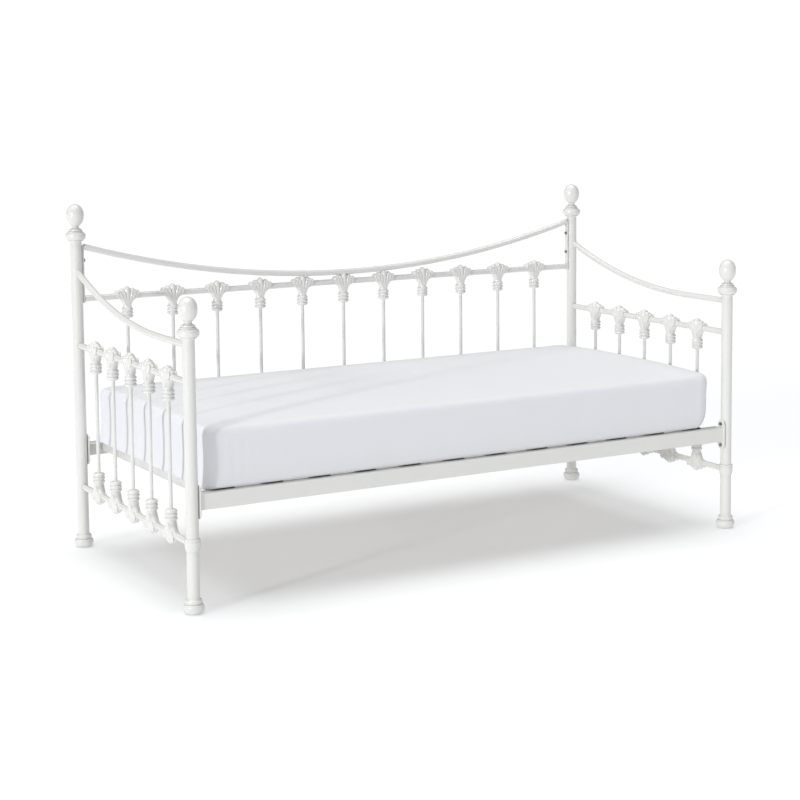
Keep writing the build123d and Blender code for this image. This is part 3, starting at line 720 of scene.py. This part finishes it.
def add_bolt(form, seat, side, reach):
    """Add a bolt whose washer sits at seat and whose shank runs sideways into a post."""
    before = set(form.verts)
    bmesh.ops.create_cone(
        form, cap_ends=True, segments=28, radius1=WASHER_RADIUS, radius2=WASHER_RADIUS,
        depth=WASHER_THICK, matrix=Matrix.Translation((0, 0, -WASHER_THICK / 2)),
    )
    head = bmesh.ops.create_cone(
        form, cap_ends=True, segments=6, radius1=BOLT_HEAD_RADIUS, radius2=BOLT_HEAD_RADIUS,
        depth=BOLT_HEAD_HEIGHT, matrix=Matrix.Translation((0, 0, -WASHER_THICK - BOLT_HEAD_HEIGHT / 2)),
    )["verts"]
    edges = list({edge for vert in head for edge in vert.link_edges})
    bmesh.ops.bevel(
        form, geom=edges, offset=BOLT_HEAD_EASE, segments=2, affect="EDGES", profile=0.5, material=-1
    )
    add_rod(form, (0, 0, -WASHER_THICK), (0, 0, reach), BOLT_SHANK_RADIUS, 16)
    bolt = [vert for vert in form.verts if vert not in before]
    sideways = Matrix.Rotation(side * math.pi / 2, 3, "Y")
    bmesh.ops.rotate(form, verts=bolt, cent=(0, 0, 0), matrix=sideways)
    bmesh.ops.translate(form, verts=bolt, vec=seat)


PLATE_BOLT_RISE = 0.037
PLATE_BOLT_REACH = 0.011
PANEL_BOLT_HEIGHTS = (0.900, 0.972)
PANEL_BOLT_REACH = 0.013
rail_bolts = bmesh.new()
for corner in CORNERS:
    low, high, middle = box_of("rail_plate_" + corner)
    side = -1 if corner.endswith("left") else 1
    seat_x = low.x if side > 0 else high.x
    for rise in (-PLATE_BOLT_RISE, PLATE_BOLT_RISE):
        add_bolt(rail_bolts, (seat_x, middle.y, middle.z + rise), side, PLATE_BOLT_REACH)
stand_for(rail_bolts, "rail_bolt_set", bolt_steel, "bolt_steel", "rail_bolts")
panel_bolts = bmesh.new()
for end_name, side in END_NAMES:
    low, high, middle = box_of("back_upright_" + end_name)
    seat_x = low.x if side > 0 else high.x
    for height in PANEL_BOLT_HEIGHTS:
        add_bolt(panel_bolts, (seat_x, middle.y, height), side, PANEL_BOLT_REACH)
stand_for(panel_bolts, "panel_bolt_set", bolt_steel, "bolt_steel", "panel_bolts")

# Base: square tube cross bars and the centre support keep their CAD shape, in the frame's enamel.
base_enamel = enamel("base_enamel", (0.66, 0.66, 0.64), (0.71, 0.71, 0.69), 0.00002, 0.00008)
for node in ("left_cross_bar", "right_cross_bar", "centre_support_rail"):
    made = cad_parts[node]
    made.data.materials.clear()
    made.data.materials.append(base_enamel)

# Slats: beech plywood strips with eased edges, clear lacquered, their layers showing on the edges.
SLAT_EASE = 0.0012
PLY_LINES = 200
PLY_DEPTH_OF_TONE = 0.22
slat_wood, nodes, links, shader = new_material("slat_wood")
streak = noise_at(nodes, links, 14, 6, (6, 0.5, 6))
fibre = noise_at(nodes, links, 120, 3, (6, 0.12, 6))
plies = nodes.new("ShaderNodeTexWave")
plies.bands_direction = "Z"
plies.inputs["Scale"].default_value = PLY_LINES
plies.inputs["Distortion"].default_value = 0.6
ply_place = nodes.new("ShaderNodeTexCoord")
links.new(ply_place.outputs["Object"], plies.inputs["Vector"])
figure = mixed_tint(nodes, links, streak, (0.50, 0.31, 0.16), (0.74, 0.53, 0.33))
layers = nodes.new("ShaderNodeMix")
layers.data_type = "RGBA"
layers.blend_type = "MULTIPLY"
layers.inputs["Factor"].default_value = PLY_DEPTH_OF_TONE
links.new(figure, layers.inputs["A"])
links.new(plies.outputs["Color"], layers.inputs["B"])
links.new(layers.outputs["Result"], shader.inputs["Base Color"])
links.new(ranged(nodes, links, fibre, 0.35, 0.55), shader.inputs["Roughness"])
links.new(raised(nodes, links, fibre, 0.0001), shader.inputs["Normal"])
shader.inputs["Coat Weight"].default_value = 0.25
slat_nodes = [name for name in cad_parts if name.startswith("slat_") and name != "slat_caps"]
for node in sorted(slat_nodes):
    low, high, _ = box_of(node)
    slat = bmesh.new()
    add_bar(slat, low, high, SLAT_EASE, 3)
    stand_for(slat, node + "_strip", slat_wood, "slat_wood", node)

# Slat caps: black moulded sockets, clipped over the flanges' edges. They keep their CAD shape and
# get a fine sparked surface.
CAP_DARK = (0.018, 0.018, 0.019)
CAP_LIGHT = (0.035, 0.035, 0.036)
cap_plastic, nodes, links, shader = new_material("cap_plastic")
spark = noise_at(nodes, links, 1400, 2)
links.new(mixed_tint(nodes, links, spark, CAP_DARK, CAP_LIGHT), shader.inputs["Base Color"])
links.new(ranged(nodes, links, spark, 0.45, 0.62), shader.inputs["Roughness"])
links.new(raised(nodes, links, spark, 0.00006), shader.inputs["Normal"])
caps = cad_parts["slat_caps"]
caps.data.materials.clear()
caps.data.materials.append(cap_plastic)

# Mattress: a sprung single mattress, crowned by its filling and flat where it lies on the slats.
# The form is blown up a little as cloth, and the sheet is then laid over it.
SOFT_CORNER = 0.045
SOFT_TOP_ROUND = 0.020
SOFT_LOW_ROUND = 0.008
SOFT_VOXEL = 0.011
SIDE_FULLNESS = 0.010
END_FULLNESS = 0.003
LOW_INSET = 0.001
TOP_INSET = 0.009
SWELL_LIMIT = 0.004
SWELL_FRAMES = 20
SWELL_PRESSURE = 4
CLOTH_MASS = 0.3
CLOTH_STRETCH = 18
CLOTH_SHEAR = 6
CLOTH_BEND = 0.6
REST_HEIGHT = 0.012
sheet_low, sheet_high, _ = box_of("fitted_sheet")


def rounded_block(low, high, corner_round, top_round, low_round):
    """A block with round corners and softer top and bottom edges, as a bmesh."""
    form = bmesh.new()
    size = high - low
    place = Matrix.Translation((low + high) / 2) @ Matrix.Diagonal((*size, 1))
    bmesh.ops.create_cube(form, size=1, matrix=place)
    upright = [e for e in form.edges if abs(e.verts[0].co.z - e.verts[1].co.z) > size.z / 2]
    bmesh.ops.bevel(
        form, geom=upright, offset=corner_round, segments=10, affect="EDGES", profile=0.5, material=-1
    )
    for height, radius in ((high.z, top_round), (low.z, low_round)):
        rim = [e for e in form.edges if all(abs(v.co.z - height) < 1e-6 for v in e.verts)]
        bmesh.ops.bevel(form, geom=rim, offset=radius, segments=6, affect="EDGES", profile=0.5, material=-1)
    return form


start_low = sheet_low + Vector((-END_FULLNESS, -SIDE_FULLNESS, LOW_INSET))
start_high = sheet_high - Vector((-END_FULLNESS, -SIDE_FULLNESS, TOP_INSET))
block = rounded_block(start_low, start_high, SOFT_CORNER, SOFT_TOP_ROUND, SOFT_LOW_ROUND)
block_mesh = bpy.data.meshes.new("soft_block")
block.to_mesh(block_mesh)
block.free()
soft = bpy.data.objects.new("soft_block", block_mesh)
scene.collection.objects.link(soft)
even = soft.modifiers.new("even", "REMESH")
even.mode = "VOXEL"
even.voxel_size = SOFT_VOXEL
soft.data = baked(soft)
soft.modifiers.clear()
resting = soft.vertex_groups.new(name="resting")
low_points = [v.index for v in soft.data.vertices if v.co.z < start_low.z + REST_HEIGHT]
resting.add(low_points, 1.0, "REPLACE")
swell = soft.modifiers.new("swell", "CLOTH")
swell.settings.quality = 4
swell.settings.mass = CLOTH_MASS
swell.settings.tension_stiffness = CLOTH_STRETCH
swell.settings.compression_stiffness = CLOTH_STRETCH
swell.settings.shear_stiffness = CLOTH_SHEAR
swell.settings.bending_stiffness = CLOTH_BEND
swell.settings.use_pressure = True
swell.settings.uniform_pressure_force = SWELL_PRESSURE
swell.settings.vertex_group_mass = "resting"
swell.settings.effector_weights.gravity = 0
for step in range(1, SWELL_FRAMES + 1):
    scene.frame_set(step)
swelled = baked(soft)
soft.modifiers.clear()
for before, after in zip(soft.data.vertices, swelled.vertices):
    move = after.co - before.co
    before.co += move.normalized() * SWELL_LIMIT * (1 - math.exp(-move.length / SWELL_LIMIT))
scene.frame_set(1)

# The form is then eased: a crown along the top, sides that pull in a little halfway down and come
# out at a crisp low edge, faint folds at the corners, and the tuck under the right end. It stops
# short of the back spindles.
CROWN = 0.016
CROWN_AT_ENDS = 0.75
WAIST = 0.003
LOW_EDGE = 0.024
LOW_EDGE_REACH = 0.006
FOLD_DEPTH = 0.0007
FOLD_SPACING = 0.034
FOLD_REACH = 0.13
TUCK_RADIUS = 0.078
TUCK_PULL = 0.9
BACK_REACH = 0.4635
half_length = (start_high.x - start_low.x) / 2
half_width = (start_high.y - start_low.y) / 2
side_height = start_high.z - start_low.z


def tucked(co):
    """Carry the low corner of the right end round a wide curve, as a drawn-under cover does."""
    down = start_low.z + TUCK_RADIUS - co.z
    if down <= 0:
        return co
    pull = TUCK_RADIUS - math.sqrt(max(TUCK_RADIUS**2 - down**2, 0))
    end = start_low.x + 2 * half_length
    share = min(max((co.x - (end - 2 * TUCK_RADIUS)) / (2 * TUCK_RADIUS), 0), 1) ** 2
    return co - Vector((pull * share * TUCK_PULL, 0, 0))


def shape_soft(co, normal):
    """Where a point of the plain form goes on the finished one."""
    rise = (co.z - start_low.z) / side_height
    across = max(0.0, 1 - abs(co.y / half_width) ** 3)
    along_length = max(0.0, 1 - abs(co.x / half_length) ** 8)
    evenness = CROWN_AT_ENDS + (1 - CROWN_AT_ENDS) * along_length
    crown = CROWN * across * evenness * max(0.0, rise - 0.5) * 2
    pulled = WAIST * math.sin(math.pi * min(max(rise, 0), 1)) ** 2
    away = Vector((abs(co.x) - half_length + SOFT_CORNER, abs(co.y) - half_width + SOFT_CORNER))
    near = math.exp(-((max(-away.x, 0) + max(-away.y, 0)) / FOLD_REACH) ** 2)
    along = math.atan2(max(away.y, 0), max(away.x, 0)) * SOFT_CORNER + max(-away.x, 0) - max(-away.y, 0)
    drift = 0.6 * math.sin(co.x * 9 + co.y * 7)
    fold = FOLD_DEPTH * near * math.sin(math.tau * along / FOLD_SPACING + drift)
    fold *= math.sin(math.pi * min(max(rise, 0), 1)) * (1 - abs(normal.z))
    sideways = Vector((normal.x, normal.y, 0))
    lift = max(0.0, 1 - (co.z - start_low.z) / LOW_EDGE)
    edge = LOW_EDGE_REACH * lift * (1 - 0.6 * abs(normal.z))
    dip = -0.8 * max(0.0, co.z - start_low.z) * lift
    place = tucked(co + sideways * (fold - pulled + edge) + Vector((0, 0, crown + dip)))
    place.y = min(place.y, BACK_REACH)
    return place


soft_form = bmesh.new()
soft_form.from_mesh(soft.data)
soft_form.normal_update()
moved = {vert: shape_soft(vert.co, vert.normal) for vert in soft_form.verts}
for vert, place in moved.items():
    vert.co = place
bmesh.ops.smooth_vert(
    soft_form, verts=soft_form.verts, factor=0.3, use_axis_x=True, use_axis_y=True, use_axis_z=True
)
soft_mesh = bpy.data.meshes.new("soft_form")
soft_form.to_mesh(soft_mesh)
soft_form.free()
bpy.data.objects.remove(soft)

COVER_INSET = 0.0022
TICKING_DARK = (0.70, 0.70, 0.68)
TICKING_LIGHT = (0.82, 0.82, 0.80)
ticking, nodes, links, shader = new_material("mattress_ticking")
quilt = nodes.new("ShaderNodeTexVoronoi")
quilt.feature = "SMOOTH_F1"
quilt.inputs["Scale"].default_value = 14
quilt_place = nodes.new("ShaderNodeTexCoord")
links.new(quilt_place.outputs["Object"], quilt.inputs["Vector"])
thread = noise_at(nodes, links, 900, 2, (1, 3, 1))
links.new(mixed_tint(nodes, links, thread, TICKING_DARK, TICKING_LIGHT), shader.inputs["Base Color"])
padding = raised(nodes, links, quilt.outputs["Distance"], 0.006)
links.new(raised(nodes, links, thread, 0.0003, padding), shader.inputs["Normal"])
shader.inputs["Roughness"].default_value = 0.85
shader.inputs["Sheen Weight"].default_value = 0.2
mattress_form = bmesh.new()
mattress_form.from_mesh(soft_mesh)
mattress_form.normal_update()
for vert, inward in [(v, v.normal.copy()) for v in mattress_form.verts]:
    vert.co -= inward * COVER_INSET
mattress_piece = stand_for(
    mattress_form, "sprung_mattress", ticking, "mattress_cover", "mattress",
    body="mattress", crease=180,
)

# Fitted sheet: smooth white cotton with boxed corners, drawn tight over the mattress and held
# under it by an elastic hem that gathers the edge.
HEM_INSET = 0.110
HEM_GATHER = 0.0014
HEM_SPACING = 0.045
UNDERSIDE_FACING = -0.7
COTTON_DARK = (0.74, 0.75, 0.785)
COTTON_LIGHT = (0.775, 0.785, 0.815)
SHEET_THICK = 0.0012
sheet_cotton, nodes, links, shader = new_material("sheet_cotton")
weave = None
for direction in ("X", "Y", "Z"):
    yarn = nodes.new("ShaderNodeTexWave")
    yarn.bands_direction = direction
    yarn.inputs["Scale"].default_value = 210
    yarn.inputs["Distortion"].default_value = 0.8
    yarn_place = nodes.new("ShaderNodeTexCoord")
    links.new(yarn_place.outputs["Object"], yarn.inputs["Vector"])
    weave = raised(nodes, links, yarn.outputs["Color"], 0.00006, weave)
slub = noise_at(nodes, links, 260, 3)
crease = noise_at(nodes, links, 5, 3, (1, 1, 0.35))
weave = raised(nodes, links, crease, 0.004, raised(nodes, links, slub, 0.00012, weave))
links.new(mixed_tint(nodes, links, slub, COTTON_DARK, COTTON_LIGHT), shader.inputs["Base Color"])
links.new(weave, shader.inputs["Normal"])
shader.inputs["Roughness"].default_value = 0.9
shader.inputs["Specular IOR Level"].default_value = 0.25
shader.inputs["Sheen Weight"].default_value = 0.12
shader.inputs["Sheen Roughness"].default_value = 0.6
sheet_form = bmesh.new()
sheet_form.from_mesh(soft_mesh)
hem_x = half_length - HEM_INSET
hem_y = half_width - HEM_INSET
underneath = [
    face for face in sheet_form.faces
    if face.normal.z < UNDERSIDE_FACING
    and abs(face.calc_center_median().x) < hem_x
    and abs(face.calc_center_median().y) < hem_y
]
bmesh.ops.delete(sheet_form, geom=underneath, context="FACES")
for vert in sheet_form.verts:
    if vert.is_boundary:
        run = vert.co.x + vert.co.y
        vert.co.z += HEM_GATHER * (0.5 + 0.5 * math.sin(math.tau * run / HEM_SPACING))
sheet_piece = stand_for(
    sheet_form, "fitted_sheet_cotton", sheet_cotton, "sheet_cotton", "fitted_sheet",
    body="mattress", crease=180,
)
cloth = sheet_piece.modifiers.new("cloth_thickness", "SOLIDIFY")
cloth.thickness = SHEET_THICK
cloth.offset = 0
rounder = sheet_piece.modifiers.new("rounder", "SUBSURF")
rounder.levels = 1
rounder.render_levels = 1
